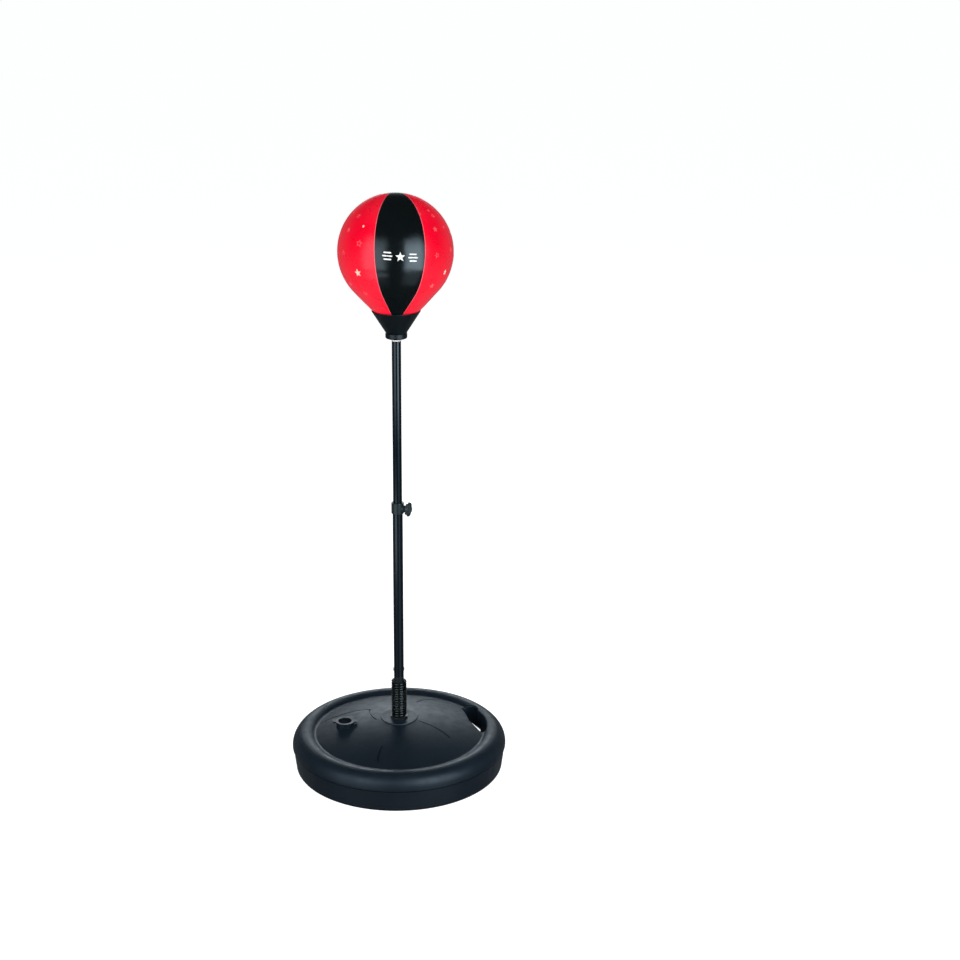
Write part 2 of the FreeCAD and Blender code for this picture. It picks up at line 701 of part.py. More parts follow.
def make_ball_nodes():
    inner_inset = SKIN + BLADDER_GAP
    hole = valve_bore(VALVE_R + PRESS_CLEARANCE, BALL_R / 2, 2 * BALL_R)
    top_core = leaned(cylinder(PATCH_R, ball_centre_z(), TOTAL_H + 10))

    hollow = ball_form(inner_inset + BLADDER_WALL).translated(V(0, 0, BLADDER_WALL))
    bladder = ball_form(inner_inset).cut(hollow)
    save("ball_bladder", bladder.cut(hole))

    skin = ball_form(0).cut(ball_form(SKIN))
    save("ball_top_patch", skin.common(top_core))

    foot_core = cylinder(BALL_R, BALL_FOOT_Z - 1, FOOT_PATCH_TOP)
    save("ball_foot_patch", skin.common(foot_core))

    skin = skin.cut(top_core).cut(foot_core).cut(hole)
    proud = ball_form(-PIPING_PROUD).cut(ball_form(0))
    proud = proud.cut(cylinder(BALL_R, BALL_FOOT_Z - 5, CUP_RIM_Z + PIPING_ABOVE_CUP)).cut(top_core)
    half_width = math.degrees(PIPING_WIDTH / 2 / BALL_R)
    start = FIRST_BLACK_FROM
    ribs = []
    for number in (1, 2, 3):
        for colour, span in (("black", BLACK_SPAN), ("red", RED_SPAN)):
            save("ball_panel_%s_%d" % (colour, number), skin.common(wedge(start, span)))
            ribs.append(proud.common(wedge(start - half_width, 2 * half_width)))
            start += span
    save("ball_piping", Part.makeCompound([solid for rib in ribs for solid in rib.Solids]))
    save("ball_valve", valve_bore(VALVE_R, BALL_R - inner_inset - BLADDER_WALL, BALL_R + VALVE_PROUD))


os.makedirs("parts", exist_ok=True)
save("base_shell", make_base_shell())
save("filler_plug", make_filler_plug())
save("base_nut", make_base_nut())
save("base_washer", make_base_washer())
save("spring_seat", make_spring_seat())
make_springs()
save("spring_top_plug", make_spring_top_plug())
save("lower_tube", make_lower_tube())
save("tube_rivet", make_tube_rivet())
save("clamp_collar", make_clamp_collar())
save("clamp_nut", make_clamp_nut())
save("clamp_pad", make_clamp_pad())
save("clamp_screw", make_clamp_screw())
save("clamp_knob", make_clamp_knob())
save("upper_tube", make_upper_tube())
save("glide_bush", make_glide_bush())
save("tube_cap", make_tube_cap())
save("ball_cup", make_ball_cup())
save("cup_lock_ring", make_lock_ring())
save("ball_stem", make_ball_stem())
make_ball_nodes()
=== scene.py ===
"""Looks for the free-standing punching ball: camera, soft studio light, materials and detailed pieces.

Metres, +Z up, the same frame as the CAD: the origin is the middle of the base, on the floor,
and -Y is the front.
"""
import json
import math

import bpy
from mathutils import Matrix, Vector


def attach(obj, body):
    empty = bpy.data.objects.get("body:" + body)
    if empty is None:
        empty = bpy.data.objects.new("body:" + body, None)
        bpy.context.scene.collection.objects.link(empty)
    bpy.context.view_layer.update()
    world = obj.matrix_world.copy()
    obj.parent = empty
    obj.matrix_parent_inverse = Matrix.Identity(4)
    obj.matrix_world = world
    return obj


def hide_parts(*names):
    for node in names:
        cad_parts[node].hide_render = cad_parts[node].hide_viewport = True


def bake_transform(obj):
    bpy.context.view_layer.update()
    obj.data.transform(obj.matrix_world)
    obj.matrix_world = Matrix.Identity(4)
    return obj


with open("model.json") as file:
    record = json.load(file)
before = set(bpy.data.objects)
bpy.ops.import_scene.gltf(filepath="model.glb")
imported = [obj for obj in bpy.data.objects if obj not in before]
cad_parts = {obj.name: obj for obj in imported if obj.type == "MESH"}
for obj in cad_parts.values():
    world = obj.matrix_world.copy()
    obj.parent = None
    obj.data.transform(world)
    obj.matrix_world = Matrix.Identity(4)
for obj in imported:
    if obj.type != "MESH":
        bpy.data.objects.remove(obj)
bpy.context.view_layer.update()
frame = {"nodes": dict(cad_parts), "record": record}

# ---------------------------------------------------------------- camera

CAMERA_PLACE = Vector((0.0, -2.7063, 1.3951))
CAMERA_YAW = math.radians(3.078)
CAMERA_PITCH = math.radians(17.37)
CAMERA_ROLL = math.radians(0.476)
CAMERA_LENS = 60.35


def make_camera():
    data = bpy.data.cameras.new("camera")
    data.lens = CAMERA_LENS
    data.sensor_width = 36.0
    data.clip_start = 0.05
    data.clip_end = 60.0
    camera = bpy.data.objects.new("camera", data)
    bpy.context.scene.collection.objects.link(camera)
    flat = math.cos(CAMERA_PITCH)
    ahead = Vector((math.sin(CAMERA_YAW) * flat, math.cos(CAMERA_YAW) * flat, -math.sin(CAMERA_PITCH)))
    right = Vector((math.cos(CAMERA_YAW), -math.sin(CAMERA_YAW), 0.0))
    above = right.cross(ahead)
    side = math.cos(CAMERA_ROLL) * right + math.sin(CAMERA_ROLL) * above
    top = -math.sin(CAMERA_ROLL) * right + math.cos(CAMERA_ROLL) * above
    turn = Matrix((side, top, -ahead)).transposed().to_4x4()
    camera.matrix_world = Matrix.Translation(CAMERA_PLACE) @ turn
    bpy.context.scene.camera = camera


# ---------------------------------------------------------------- node helpers

class Shader:
    """A material's node tree, with short calls to add and join nodes."""

    def __init__(self, name):
        self.material = bpy.data.materials.new(name)
        self.material.use_nodes = True
        self.tree = self.material.node_tree
        self.bsdf = self.tree.nodes["Principled BSDF"]
        self.coords = self.tree.nodes.new("ShaderNodeTexCoord").outputs["Object"]

    def node(self, kind, **settings):
        made = self.tree.nodes.new(kind)
        for key, value in settings.items():
            setattr(made, key, value)
        return made

    def join(self, source, target):
        self.tree.links.new(source, target)

    def noise(self, scale, detail=2.0, roughness=0.5, stretch=(1, 1, 1)):
        """Noise from 0 to 1 at a number of lumps per metre."""
        mapping = self.node("ShaderNodeMapping")
        mapping.inputs["Scale"].default_value = stretch
        self.join(self.coords, mapping.inputs["Vector"])
        made = self.node("ShaderNodeTexNoise")
        made.inputs["Scale"].default_value = scale
        made.inputs["Detail"].default_value = detail
        made.inputs["Roughness"].default_value = roughness
        self.join(mapping.outputs["Vector"], made.inputs["Vector"])
        return made.outputs["Fac"]

    def remap(self, value, low, high, to_low=0.0, to_high=1.0):
        made = self.node("ShaderNodeMapRange", interpolation_type="SMOOTHSTEP")
        made.inputs["From Min"].default_value = low
        made.inputs["From Max"].default_value = high
        made.inputs["To Min"].default_value = to_low
        made.inputs["To Max"].default_value = to_high
        self.join(value, made.inputs["Value"])
        return made.outputs["Result"]

    def blend(self, share, first, second):
        """first where the share socket is 0, second where it is 1; each a colour or a socket."""
        made = self.node("ShaderNodeMix", data_type="RGBA")
        self.join(share, made.inputs[0])
        for socket, value in ((made.inputs[6], first), (made.inputs[7], second)):
            if isinstance(value, (tuple, list)):
                socket.default_value = (*value[:3], 1.0)
            else:
                self.join(value, socket)
        return made.outputs[2]

    def calc(self, operation, first, second):
        made = self.node("ShaderNodeMath", operation=operation)
        for socket, value in zip(made.inputs, (first, second)):
            if isinstance(value, (int, float)):
                socket.default_value = value
            else:
                self.join(value, socket)
        return made.outputs[0]

    def set(self, name, value):
        socket = self.bsdf.inputs[name]
        if isinstance(value, (int, float)):
            socket.default_value = value
        elif isinstance(value, (tuple, list)):
            socket.default_value = (*value[:3], 1.0)
        else:
            self.join(value, socket)

    def bump(self, *layers):
        """Layers of (height socket, depth in metres), one on the other."""
        normal = None
        for height, depth in layers:
            made = self.node("ShaderNodeBump")
            made.inputs["Strength"].default_value = 1.0
            made.inputs["Distance"].default_value = depth
            self.join(height, made.inputs["Height"])
            if normal is not None:
                self.join(normal, made.inputs["Normal"])
            normal = made.outputs["Normal"]
        self.join(normal, self.bsdf.inputs["Normal"])

    def edge_wear(self, radius):
        """Near 1 on sharp edges and corners, 0 on broad faces."""
        bevel = self.node("ShaderNodeBevel", samples=4)
        bevel.inputs["Radius"].default_value = radius
        plain = self.node("ShaderNodeNewGeometry").outputs["Normal"]
        dot = self.node("ShaderNodeVectorMath", operation="DOT_PRODUCT")
        self.join(bevel.outputs["Normal"], dot.inputs[0])
        self.join(plain, dot.inputs[1])
        return self.remap(dot.outputs["Value"], 0.995, 0.9)


def lighter(colour, factor):
    return tuple(min(1.0, part * factor) for part in colour)


# ---------------------------------------------------------------- materials

def moulded_plastic(name, colour, roughness, grain=900.0, grain_depth=0.00004, wear=0.0006):
    """Satin moulded plastic: fine grain, faint flow mottling, polished edges and a little dust."""
    shader = Shader(name)
    mottle = shader.noise(9.0, 4.0, 0.6)
    fine = shader.noise(grain, 2.0, 0.6)
    scuffs = shader.noise(60.0, 5.0, 0.7, (1.0, 1.0, 0.25))
    edges = shader.edge_wear(wear)
    tone = shader.blend(mottle, lighter(colour, 0.8), lighter(colour, 1.25))
    tone = shader.blend(shader.calc("MULTIPLY", edges, 0.35), tone, lighter(colour, 2.6))
    shader.set("Base Color", tone)
    rough = shader.remap(scuffs, 0.3, 0.75, roughness - 0.05, roughness + 0.09)
    shader.set("Roughness", shader.calc("SUBTRACT", rough, shader.calc("MULTIPLY", edges, 0.08)))
    shader.set("Specular IOR Level", 0.32)
    shader.bump((fine, grain_depth), (shader.noise(38.0, 3.0), 0.0002))
    return shader.material


def coated_tube(name, colour, roughness, coat):
    """Powder-coated steel: slight orange peel and long draw marks."""
    shader = Shader(name)
    peel = shader.noise(420.0, 2.0, 0.5)
    draw = shader.noise(700.0, 3.0, 0.6, (1.0, 1.0, 0.02))
    patches = shader.noise(14.0, 4.0, 0.6)
    edges = shader.edge_wear(0.0005)
    tone = shader.blend(patches, lighter(colour, 0.85), lighter(colour, 1.2))
    shader.set("Base Color", shader.blend(shader.calc("MULTIPLY", edges, 0.4), tone, (0.16, 0.16, 0.17)))
    shader.set("Roughness", shader.remap(draw, 0.3, 0.7, roughness - 0.03, roughness + 0.06))
    shader.set("Specular IOR Level", 0.3)
    shader.set("Coat Weight", coat)
    shader.set("Coat Roughness", max(0.03, roughness - 0.12))
    shader.bump((peel, 0.00001), (draw, 0.000006))
    return shader.material


def plated_steel(name):
    """Zinc-plated steel with turning marks."""
    shader = Shader(name)
    marks = shader.noise(900.0, 3.0, 0.7, (1.0, 1.0, 0.1))
    bloom = shader.noise(120.0, 4.0, 0.6)
    shader.set("Base Color", shader.blend(bloom, (0.46, 0.47, 0.48), (0.68, 0.68, 0.66)))
    shader.set("Metallic", 1.0)
    shader.set("Roughness", shader.remap(marks, 0.3, 0.7, 0.22, 0.4))
    shader.bump((marks, 0.00001))
    return shader.material


def vinyl(name, colour, roughness, sheen_tint):
    """Glossy printed vinyl, blown tight: faint ripples, pores and handling haze."""
    shader = Shader(name)
    ripple = shader.noise(26.0, 3.0, 0.5)
    pores = shader.noise(1500.0, 2.0, 0.5)
    haze = shader.noise(34.0, 5.0, 0.65)
    shader.set("Base Color", shader.blend(haze, lighter(colour, 0.93), lighter(colour, 1.08)))
    shader.set("Roughness", shader.remap(haze, 0.3, 0.72, roughness - 0.03, roughness + 0.07))
    shader.set("Specular IOR Level", 0.32)
    shader.set("Coat Weight", 0.1)
    shader.set("Coat Roughness", roughness * 0.6)
    shader.set("Coat Tint", sheen_tint)
    shader.bump((ripple, 0.0006), (pores, 0.000015))
    return shader.material


def ink(name, colour, roughness):
    """Printed ink, thinner in places."""
    shader = Shader(name)
    thin = shader.noise(700.0, 4.0, 0.7)
    shader.set("Base Color", shader.blend(thin, lighter(colour, 0.82), lighter(colour, 1.1)))
    shader.set("Roughness", shader.remap(thin, 0.3, 0.7, roughness - 0.04, roughness + 0.08))
    shader.bump((thin, 0.00001))
    return shader.material


def soft_rubber(name, colour):
    shader = Shader(name)
    fine = shader.noise(1100.0, 2.0, 0.6)
    patches = shader.noise(50.0, 4.0)
    shader.set("Base Color", shader.blend(patches, lighter(colour, 0.8), lighter(colour, 1.3)))
    shader.set("Roughness", shader.remap(fine, 0.3, 0.7, 0.55, 0.72))
    shader.bump((fine, 0.00003))
    return shader.material


def make_materials():
    return {
        "base_plastic": moulded_plastic("base_plastic", (0.0045, 0.0082, 0.0130), 0.44),
        "plug_plastic": moulded_plastic("plug_plastic", (0.0045, 0.0062, 0.009), 0.38, 1400.0, 0.00002),
        "spring_steel": coated_tube("spring_steel", (0.003, 0.005, 0.0045), 0.15, 0.3),
        "zinc_steel": plated_steel("zinc_steel"),
        "seat_steel": coated_tube("seat_steel", (0.01, 0.011, 0.013), 0.34, 0.1),
        "neck_plastic": moulded_plastic("neck_plastic", (0.008, 0.0105, 0.014), 0.36, 1400.0, 0.00002),
        "tube_gloss": coated_tube("tube_gloss", (0.003, 0.0055, 0.009), 0.14, 0.1),
        "tube_satin": coated_tube("tube_satin", (0.0018, 0.0045, 0.0075), 0.14, 0.0),
        "clamp_plastic": moulded_plastic("clamp_plastic", (0.012, 0.019, 0.022), 0.27, 1400.0, 0.00002),
        "knob_plastic": moulded_plastic("knob_plastic", (0.017, 0.025, 0.029), 0.34, 1600.0, 0.00003),
        "pale_plastic": moulded_plastic("pale_plastic", (0.66, 0.66, 0.64), 0.42, 1400.0, 0.00002),
        "cup_plastic": moulded_plastic("cup_plastic", (0.002, 0.004, 0.0052), 0.42, 1000.0, 0.00003),
        "ball_red": vinyl("ball_red", (0.78, 0.0012, 0.022), 0.28, (1.0, 0.9, 0.92)),
        "ball_black": vinyl("ball_black", (0.0025, 0.004, 0.0045), 0.2, (1.0, 1.0, 1.0)),
        "print_bright_stars": ink("print_bright_stars", (0.95, 0.62, 0.50), 0.3),
        "print_faint_stars": ink("print_faint_stars", (0.92, 0.10, 0.11), 0.3),
        "print_black_panels": ink("print_black_panels", (0.80, 0.82, 0.83), 0.3),
        "piping_vinyl": vinyl("piping_vinyl", (0.75, 0.10, 0.13), 0.35, (1.0, 1.0, 1.0)),
        "bladder_rubber": soft_rubber("bladder_rubber", (0.05, 0.045, 0.045)),
        "valve_rubber": soft_rubber("valve_rubber", (0.02, 0.02, 0.02)),
    }


def paint(piece, material):
    piece.data.materials.clear()
    piece.data.materials.append(material)


def paint_cad_nodes(materials):
    """Every carried-over CAD node gets the procedural material of its slot."""
    for part in frame["record"]["subparts"]:
        node = frame["nodes"][part["node"]]
        paint(node, materials[part["material_slot"]])


# ---------------------------------------------------------------- mesh building

class Shell:
    """Points and faces collected for one mesh."""

    def __init__(self):
        self.points = []
        self.faces = []

    def rings(self, rings, closed=False):
        """Joins rings of equally many points with quads, and caps the ends of an open run."""
        first = len(self.points)
        count = len(rings[0])
        for ring in rings:
            self.points.extend(ring)
        pairs = len(rings) if closed else len(rings) - 1
        for i in range(pairs):
            low = first + i * count
            high = first + (i + 1) % len(rings) * count
            for j in range(count):
                k = (j + 1) % count
                self.faces.append((low + j, low + k, high + k, high + j))
        if not closed:
            last = first + (len(rings) - 1) * count
            self.faces.append(tuple(first + j for j in reversed(range(count))))
            self.faces.append(tuple(last + j for j in range(count)))

    def piece(self, name, material, smooth=True):
        mesh = bpy.data.meshes.new(name)
        mesh.from_pydata([tuple(point) for point in self.points], [], self.faces)
        mesh.validate()
        if smooth:
            mesh.shade_smooth()
        else:
            mesh.shade_flat()
        made = bpy.data.objects.new(name, mesh)
        bpy.context.scene.collection.objects.link(made)
        paint(made, material)
        return made


# ---------------------------------------------------------------- spring

COIL_R = 0.0120
WIRE_R = 0.0020
PITCH = 0.0048
COIL_FOOT_Z = 0.0970
COIL_TURNS = 14
WIRE_SIDES = 14
STEPS_PER_TURN = 40
BEND_TURNS = 2
FIRST_BEND_TURN = 3
TAIL_TURNS = 0.12
TAIL_RISE = 0.0035
NUDGE_TURNS = 0.002
# A cut end of the wire: the length that is rounded, and (share of it, share of the wire's radius) there
CUT_LENGTH = 0.0012
CUT_ROUNDING = ((0.0, 0.62), (0.3, 0.92), (1.0, 1.0))
SPRING_NODES = (
    "spring_foot_coils", "spring_coils_1", "spring_coils_2", "spring_coils_3", "spring_head_coils",
)
SPRING_BODIES = ("base", "spring_1", "spring_2", "spring_3", "lower_pole")


def coil_point(turn):
    """Middle of the wire after a number of turns; past the last turn the cut end stands up a little."""
    angle = math.pi + 2 * math.pi * turn
    z = COIL_FOOT_Z + PITCH * turn
    if turn > COIL_TURNS:
        z += TAIL_RISE * ((turn - COIL_TURNS) / TAIL_TURNS) ** 2
    return Vector((COIL_R * math.cos(angle), COIL_R * math.sin(angle), z))


def wire_ring(turn, radius=WIRE_R):
    here = coil_point(turn)
    along = (coil_point(turn + NUDGE_TURNS) - coil_point(turn - NUDGE_TURNS)).normalized()
    out = Vector((here.x, here.y, 0)).normalized()
    out = (out - along * out.dot(along)).normalized()
    up = along.cross(out)
    ring = []
    for side in range(WIRE_SIDES):
        angle = 2 * math.pi * side / WIRE_SIDES
        ring.append(here + radius * (math.cos(angle) * out + math.sin(angle) * up))
    return ring


def make_coils(name, first, last, material, round_start=False, round_end=False):
    """The wire between two turn counts; a cut end is slightly rounded."""
    steps = round((last - first) * STEPS_PER_TURN)
    rings = [wire_ring(first + (last - first) * i / steps) for i in range(steps + 1)]
    cut = CUT_LENGTH / (2 * math.pi * COIL_R)
    if round_start:
        rings[:1] = [wire_ring(first + cut * far, WIRE_R * size) for far, size in CUT_ROUNDING]
    if round_end:
        rings[-1:] = [wire_ring(last - cut * far, WIRE_R * size) for far, size in reversed(CUT_ROUNDING)]
    shell = Shell()
    shell.rings(rings)
    return shell.piece(name, material)


def make_spring(material):
    """One wire in six lengths: two ride on the base and the pole, four lie across the joints with their
    shape baked in place.
    """
    foot = make_coils("spring_wire_foot", 0, FIRST_BEND_TURN, material, round_start=True)
    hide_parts(SPRING_NODES[0])
    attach(foot, "base")
    turn = FIRST_BEND_TURN
    for number in range(len(SPRING_BODIES) - 1):
        bent = make_coils("spring_wire_bend_%d" % (number + 1), turn, turn + BEND_TURNS, material)
        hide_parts(SPRING_NODES[number], SPRING_NODES[number + 1])
        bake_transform(bent)
        turn += BEND_TURNS
    head = make_coils("spring_wire_head", turn, COIL_TURNS + TAIL_TURNS, material, round_end=True)
    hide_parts(SPRING_NODES[-1])
    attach(head, "lower_pole")


# ---------------------------------------------------------------- skirt of the tube's cap

SKIRT_INNER_R = 0.0081
SKIRT_OUTER_R = 0.0089
SKIRT_FOOT_Z = 0.7988
SKIRT_TOP_Z = 0.8016
SKIRT_ROUND = 0.0004
SKIRT_STEPS = 64


def make_cap_skirt(material):
    """The pale lip of the cap that shows round the tube, just under the lock ring."""
    section = (
        (SKIRT_INNER_R, SKIRT_FOOT_Z + SKIRT_ROUND),
        (SKIRT_INNER_R + SKIRT_ROUND, SKIRT_FOOT_Z),
        (SKIRT_OUTER_R - SKIRT_ROUND, SKIRT_FOOT_Z),
        (SKIRT_OUTER_R, SKIRT_FOOT_Z + SKIRT_ROUND),
        (SKIRT_OUTER_R, SKIRT_TOP_Z),
        (SKIRT_INNER_R, SKIRT_TOP_Z),
    )
    rings = []
    for step in range(SKIRT_STEPS):
        turn = 2 * math.pi * step / SKIRT_STEPS
        rings.append([Vector((r * math.cos(turn), r * math.sin(turn), z)) for r, z in section])
    shell = Shell()
    shell.rings(rings, closed=True)
    skirt = shell.piece("tube_cap_skirt", material, smooth=False)
    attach(skirt, "upper_pole")


# ---------------------------------------------------------------- printed stars and stripes on the ball

BALL_CENTRE = Vector((0, 0, 0.952))
BALL_R = 0.098
CONE_FROM = math.radians(-42.8)
PRINT_PROUD = 0.00018
PRINT_SUNK = 0.00010
BLACK_PANEL_TURNS = (0, 120, 240)

STAR_CORNERS = 10
STAR_INNER_SHARE = 0.42
STAR_EDGE_CUTS = 3
# A star is printed in bands between its outline at these sizes; the open one keeps its middle free
SOLID_STAR_SIZES = (1.0, 0.7, 0.4, 0.1)
OPEN_STAR_SIZES = (1.0, 0.62)

# The badge on a black panel; turns in degrees round the ball's centre, lengths in metres
BADGE_AZIMUTH = 4.4
BADGE_ELEVATION = 4
BADGE_STAR_R = 0.0085
STRIPE_LENGTHS = (0.013, 0.017, 0.013)
STRIPE_H = 0.0024
STRIPE_AZIMUTH = 12.5
STRIPE_STEP = 3.2
STRIPE_SLANT = 1.0
STRIPE_TILT = -3
STRIPE_END_STEPS = 6
STRIPE_CORE_LENGTH = 0.2
STRIPE_CORE_H = 0.02


def ball_direction(azimuth, elevation):
    """From the ball's centre; azimuth in degrees from the front, positive to the right."""
    turn, rise = math.radians(azimuth), math.radians(elevation)
    return Vector((math.sin(turn) * math.cos(rise), -math.cos(turn) * math.cos(rise), math.sin(rise)))


def ball_surface(direction, proud):
    """The point on the ball's skin along a direction, on the sphere or on the cone below it."""
    direction = direction.normalized()
    rise = math.asin(direction.z)
    reach = BALL_R
    if rise < CONE_FROM:
        reach = BALL_R / math.cos(CONE_FROM - rise)
    return BALL_CENTRE + direction * (reach + proud)


class Print:
    """A thin layer of ink around one place on the ball."""

    def __init__(self, shell, azimuth, elevation, turn):
        self.shell = shell
        self.out = ball_direction(azimuth, elevation)
        across = Vector((0, 0, 1)).cross(self.out).normalized()
        up = self.out.cross(across)
        spin = math.radians(turn)
        self.across = math.cos(spin) * across + math.sin(spin) * up
        self.up = -math.sin(spin) * across + math.cos(spin) * up

    def at(self, u, v, proud):
        return ball_surface(self.out * BALL_R + self.across * u + self.up * v, proud)

    def band(self, outer, inner):
        """Ink between two outlines with equally many points."""
        rings = [
            [self.at(u, v, -PRINT_SUNK) for u, v in outer],
            [self.at(u, v, PRINT_PROUD) for u, v in outer],
            [self.at(u, v, PRINT_PROUD) for u, v in inner],
            [self.at(u, v, -PRINT_SUNK) for u, v in inner],
        ]
        self.shell.rings(rings, closed=True)


def star_outline(radius):
    """Points round a five-pointed star, each edge cut into short lengths."""
    corners = []
    for i in range(STAR_CORNERS):
        reach = radius if i % 2 == 0 else radius * STAR_INNER_SHARE
        angle = math.pi / 2 + 2 * math.pi * i / STAR_CORNERS
        corners.append(Vector((reach * math.cos(angle), reach * math.sin(angle))))
    points = []
    for i, here in enumerate(corners):
        after = corners[(i + 1) % STAR_CORNERS]
        points.extend(here.lerp(after, cut / STAR_EDGE_CUTS) for cut in range(STAR_EDGE_CUTS))
    return points


def print_star(shell, azimuth, elevation, radius, turn, solid):
    ink = Print(shell, azimuth, elevation, turn)
    outline = star_outline(radius)
    sizes = SOLID_STAR_SIZES if solid else OPEN_STAR_SIZES
    for wide, narrow in zip(sizes, sizes[1:]):
        ink.band([point * wide for point in outline], [point * narrow for point in outline])


def print_stripe(shell, azimuth, elevation, length):
    """A stripe with round ends, printed round a hair-thin core."""
    ink = Print(shell, azimuth, elevation, STRIPE_TILT)
    end = STRIPE_H / 2
    half = length / 2 - end
    outer, inner = [], []
    for side in (1, -1):
        for step in range(STRIPE_END_STEPS + 1):
            angle = -math.pi / 2 + math.pi * step / STRIPE_END_STEPS
            along, across = end * math.cos(angle), end * math.sin(angle)
            outer.append((side * (half + along), side * across))
            inner.append((side * (half + 0.1 * along) * STRIPE_CORE_LENGTH, side * across * STRIPE_CORE_H))
    ink.band(outer, inner)


# Stars on the red panels, as (azimuth, elevation, radius in mm, turn, solid), one panel after the other
BRIGHT_STARS = (
    (-41, -14, 7.2, 8, True), (-39, 32, 2.9, 0, True),
    (60, -16, 5.6, -14, True), (84, 20, 3.2, 10, True),
    (172, -12, 7.0, 6, True), (-168, 30, 3.0, 0, True),
)
FAINT_STARS = (
    (-39, 15, 6.8, -8, False), (-62, 3, 5.0, 14, False), (-62, -29, 5.4, -10, True),
    (-41, -38, 5.4, 12, False), (-61, 26, 5.0, 16, True), (-56, 42, 5.0, -6, False),
    (-82, -8, 5.4, 4, True), (-80, 18, 4.2, -12, False), (-78, 44, 3.4, 9, True),
    (49, 28, 5.6, -12, True), (58, 42, 5.0, 10, False), (44, 3, 5.4, 16, False),
    (44, -29, 6.2, 14, True), (67, 28, 3.6, 0, True), (58, 49, 3.0, 8, True),
    (70, 5, 4.6, -9, False), (88, -6, 5.6, 12, True), (80, -30, 5.0, 5, False),
    (36, 46, 3.2, -4, False),
    (160, 14, 6.4, -7, False), (-176, 4, 4.8, 15, False), (-164, -18, 5.6, -9, True),
    (178, -34, 5.4, 11, False), (164, 38, 5.0, 18, True), (-174, 46, 4.6, -5, False),
    (-158, 8, 5.2, 7, True), (158, -30, 4.4, 3, True),
)


def print_badge(shell, azimuth):
    """A plain badge on a black panel: a small star between stripes, the right ones a little lower."""
    print_star(shell, azimuth, BADGE_ELEVATION, BADGE_STAR_R, 0, True)
    for side in (-1, 1):
        for row, length in zip((-1, 0, 1), STRIPE_LENGTHS):
            elevation = BADGE_ELEVATION + row * STRIPE_STEP - side * STRIPE_SLANT
            print_stripe(shell, azimuth + side * STRIPE_AZIMUTH, elevation, length)


def make_prints(materials):
    bright, faint, pale = Shell(), Shell(), Shell()
    for shell, stars in ((bright, BRIGHT_STARS), (faint, FAINT_STARS)):
        for azimuth, elevation, radius, turn, solid in stars:
            print_star(shell, azimuth, elevation, radius / 1000, turn, solid)
    for turn in BLACK_PANEL_TURNS:
        print_badge(pale, turn + BADGE_AZIMUTH)
    for name, shell, slot in (
        ("print_bright_stars", bright, "ball_red"),
        ("print_faint_stars", faint, "ball_red"),
        ("print_black_panels", pale, "ball_black"),
    ):
        piece = shell.piece(name, materials[name])
        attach(piece, "upper_pole")


# ---------------------------------------------------------------- stage and light

FLOOR_SIDE = 40.0
FLOOR_GLOW = 0.985
WHITE = (0.985, 0.998, 1.0)
COOL = (0.80, 0.92, 1.0)
# The pale part of the world, by the way a ray points: how far back, and how high
BACKDROP_NONE_Y, BACKDROP_FULL_Y = 0.15, 0.6
BACKDROP_FULL_Z, BACKDROP_NONE_Z = 0.25, 0.55
WORLD_DIM = 0.02
WORLD_BRIGHT = 0.2
CARD_R = 1.3
CARD_STEPS = 24
CARD_COLOUR = (0.68, 0.87, 1.0)
# Profiles of the light cards, as (height, strength)
LEFT_CARD = (
    (-1.0, 0.3), (-0.14, 0.3), (-0.06, 3.0), (0.08, 3.0), (0.13, 0.1), (0.30, 0.1),
    (0.36, 3.6), (1.25, 3.6), (1.85, 0.0),
)
RIGHT_CARD = (
    (-1.0, 0.8), (0.25, 0.8), (0.28, 0.5),
    (0.34, 7.5), (1.25, 7.5), (1.85, 0.0),
)


def make_floor():
    """Pale paper, lit through from below, so that it stays white with only a faint contact shadow."""
    half = FLOOR_SIDE / 2
    mesh = bpy.data.meshes.new("floor")
    corners = [(-half, -half, 0), (half, -half, 0), (half, half, 0), (-half, half, 0)]
    mesh.from_pydata(corners, [], [(0, 1, 2, 3)])
    floor = bpy.data.objects.new("floor", mesh)
    bpy.context.scene.collection.objects.link(floor)
    shader = Shader("floor_paper")
    shader.set("Base Color", shader.blend(shader.noise(2.0, 3.0), (0.40, 0.405, 0.41), (0.43, 0.43, 0.43)))
    shader.set("Roughness", shader.remap(shader.noise(30.0, 3.0), 0.3, 0.7, 0.8, 0.95))
    shader.set("Specular IOR Level", 0.1)
    shader.set("Emission Color", WHITE)
    shader.set("Emission Strength", FLOOR_GLOW)
    shader.material.cycles.emission_sampling = "NONE"
    paint(floor, shader.material)
    floor.visible_glossy = False


def area_light(name, place, aim, width, height, power, colour=(1, 1, 1), spread=180, reflected=False):
    """A soft light; one that is not reflected leaves that to the cards."""
    data = bpy.data.lights.new(name, "AREA")
    data.shape = "RECTANGLE"
    data.size = width
    data.size_y = height
    data.energy = power
    data.color = colour
    data.spread = math.radians(spread)
    light = bpy.data.objects.new(name, data)
    bpy.context.scene.collection.objects.link(light)
    place, aim = Vector(place), Vector(aim)
    turn = (aim - place).to_track_quat("-Z", "Y")
    light.matrix_world = Matrix.Translation(place) @ turn.to_matrix().to_4x4()
    light.visible_glossy = reflected
    light.visible_camera = False


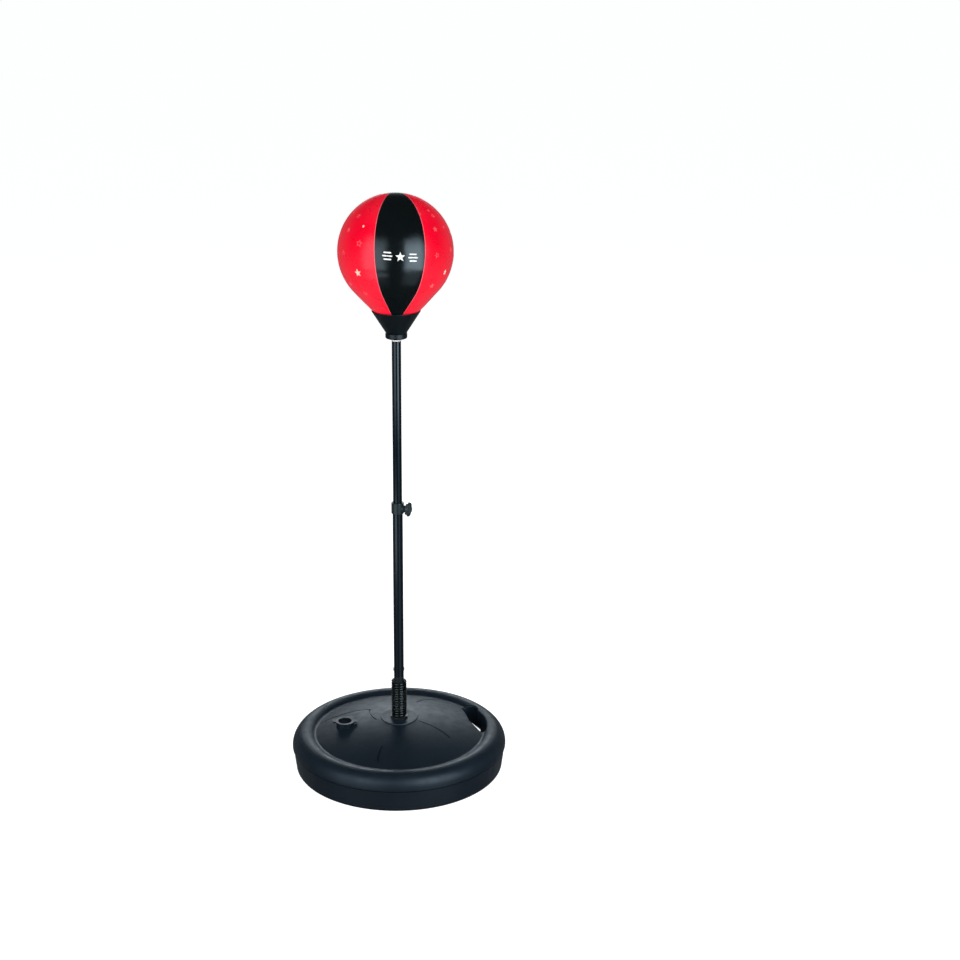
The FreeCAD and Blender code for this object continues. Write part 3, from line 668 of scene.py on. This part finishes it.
def make_card(name, azimuths, profile):
    """A curved light card round the object that only shows in reflections.

    The profile gives its strength at heights, as (height, strength); it fades towards its upright edges.
    """
    points, faces, glow = [], [], []
    rows = len(profile)
    for i in range(CARD_STEPS + 1):
        share = i / CARD_STEPS
        turn = math.radians(azimuths[0] + (azimuths[1] - azimuths[0]) * share)
        fade = min(1.0, 4.0 * min(share, 1 - share))
        for height, strength in profile:
            points.append((CARD_R * math.sin(turn), -CARD_R * math.cos(turn), height))
            glow.append(strength * fade * fade * (3 - 2 * fade))
    for i in range(CARD_STEPS):
        for j in range(rows - 1):
            corner = i * rows + j
            faces.append((corner, corner + 1, corner + rows + 1, corner + rows))
    mesh = bpy.data.meshes.new(name)
    mesh.from_pydata(points, [], faces)
    mesh.attributes.new("glow", "FLOAT", "POINT").data.foreach_set("value", glow)
    card = bpy.data.objects.new(name, mesh)
    bpy.context.scene.collection.objects.link(card)
    material = bpy.data.materials.new(name)
    material.use_nodes = True
    tree = material.node_tree
    tree.nodes.clear()
    out = tree.nodes.new("ShaderNodeOutputMaterial")
    light = tree.nodes.new("ShaderNodeEmission")
    light.inputs["Color"].default_value = (*CARD_COLOUR, 1)
    read = tree.nodes.new("ShaderNodeAttribute")
    read.attribute_name = "glow"
    tree.links.new(read.outputs["Fac"], light.inputs["Strength"])
    tree.links.new(light.outputs["Emission"], out.inputs["Surface"])
    material.cycles.emission_sampling = "NONE"
    paint(card, material)
    card.visible_camera = False
    card.visible_diffuse = False
    card.visible_shadow = False
    card.visible_transmission = False


def ramp_node(tree, value, none_at, full_at):
    """0 where the value is none_at or beyond, 1 where it is full_at or beyond."""
    made = tree.nodes.new("ShaderNodeMapRange")
    made.interpolation_type = "SMOOTHSTEP"
    made.inputs["From Min"].default_value = none_at
    made.inputs["From Max"].default_value = full_at
    tree.links.new(value, made.inputs["Value"])
    return made.outputs["Result"]


def make_world():
    """White to the eye; for reflections and fill, pale low behind the object and dim elsewhere."""
    world = bpy.data.worlds.new("studio")
    bpy.context.scene.world = world
    world.use_nodes = True
    tree = world.node_tree
    tree.nodes.clear()
    out = tree.nodes.new("ShaderNodeOutputWorld")
    path = tree.nodes.new("ShaderNodeLightPath")
    seen = tree.nodes.new("ShaderNodeBackground")
    seen.inputs["Color"].default_value = (*WHITE, 1)
    seen.inputs["Strength"].default_value = 1.0
    fill = tree.nodes.new("ShaderNodeBackground")
    fill.inputs["Color"].default_value = (0.88, 0.95, 1.0, 1)
    coords = tree.nodes.new("ShaderNodeTexCoord")
    split = tree.nodes.new("ShaderNodeSeparateXYZ")
    tree.links.new(coords.outputs["Generated"], split.inputs["Vector"])
    behind = ramp_node(tree, split.outputs["Y"], BACKDROP_NONE_Y, BACKDROP_FULL_Y)
    low = ramp_node(tree, split.outputs["Z"], BACKDROP_NONE_Z, BACKDROP_FULL_Z)
    share = tree.nodes.new("ShaderNodeMath")
    share.operation = "MULTIPLY"
    tree.links.new(behind, share.inputs[0])
    tree.links.new(low, share.inputs[1])
    ramp = tree.nodes.new("ShaderNodeMapRange")
    ramp.inputs["To Min"].default_value = WORLD_DIM
    ramp.inputs["To Max"].default_value = WORLD_BRIGHT
    tree.links.new(share.outputs["Value"], ramp.inputs["Value"])
    mix = tree.nodes.new("ShaderNodeMixShader")
    tree.links.new(ramp.outputs["Result"], fill.inputs["Strength"])
    tree.links.new(path.outputs["Is Camera Ray"], mix.inputs["Fac"])
    tree.links.new(fill.outputs["Background"], mix.inputs[1])
    tree.links.new(seen.outputs["Background"], mix.inputs[2])
    tree.links.new(mix.outputs["Shader"], out.inputs["Surface"])


def make_lights():
    middle = (0.0, 0.0, 0.6)
    area_light("key_left", (-1.7, -1.9, 1.7), middle, 1.4, 1.6, 40.0)
    area_light("key_right", (1.9, -1.7, 1.6), middle, 1.4, 1.6, 35.0)
    area_light("front", (0.2, -3.2, 1.3), middle, 1.6, 1.2, 26.0)
    area_light("overhead", (0.0, 0.2, 2.6), (0.0, 0.0, 0.0), 2.6, 2.6, 24.0)
    area_light("back_fill", (0.4, 2.6, 1.7), middle, 1.6, 1.2, 22.0)
    area_light("base_back", (0.0, 2.7, 1.0), (0.0, 0.05, 0.05), 3.0, 0.7, 2.0, COOL, 40, True)
    make_card("card_left", (-72, -12), LEFT_CARD)
    make_card("card_right", (12, 62), RIGHT_CARD)
    scene = bpy.context.scene
    scene.view_settings.view_transform = "Standard"
    scene.view_settings.look = "None"
    scene.cycles.max_bounces = 8


make_camera()
make_world()
make_floor()
make_lights()
materials = make_materials()
paint_cad_nodes(materials)
make_spring(materials["spring_steel"])
make_cap_skirt(materials["pale_plastic"])
make_prints(materials)
